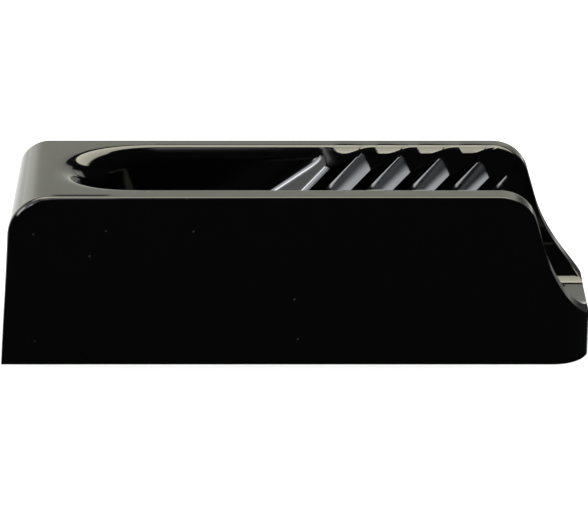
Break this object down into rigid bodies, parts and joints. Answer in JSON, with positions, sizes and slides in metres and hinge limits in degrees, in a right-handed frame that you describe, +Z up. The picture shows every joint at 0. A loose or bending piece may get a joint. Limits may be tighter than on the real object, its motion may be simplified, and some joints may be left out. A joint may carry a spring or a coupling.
{
  "type": "jam cleat",
  "caption": "Black moulded V-groove jam cleat with toothed flanks, a sunken pocket, a fairlead hole through its closed end, and through-bolt fixings.",
  "frame": {"origin": "centre of the base face that lies on the deck", "axes": "+X along the rope from the fairlead end to the open mouth, +Z up out of the deck, +Y across"},
  "size_m": [0.082, 0.022, 0.0441],
  "materials": {
    "moulding": "glossy moulded nylon",
    "screw_steel": "satin stainless steel",
    "washer_steel": "satin stainless steel",
    "nut_steel": "satin stainless steel",
    "insert_nylon": "natural nylon"
  },
  "bodies": {
    "root": {"cleat_body": "moulding", "pocket_screw": "screw_steel", "pocket_washer": "washer_steel", "pocket_nut": "nut_steel", "pocket_nut_insert": "insert_nylon", "mouth_screw": "screw_steel", "mouth_washer": "washer_steel", "mouth_nut": "nut_steel", "mouth_nut_insert": "insert_nylon"}
  },
  "joints": []
}
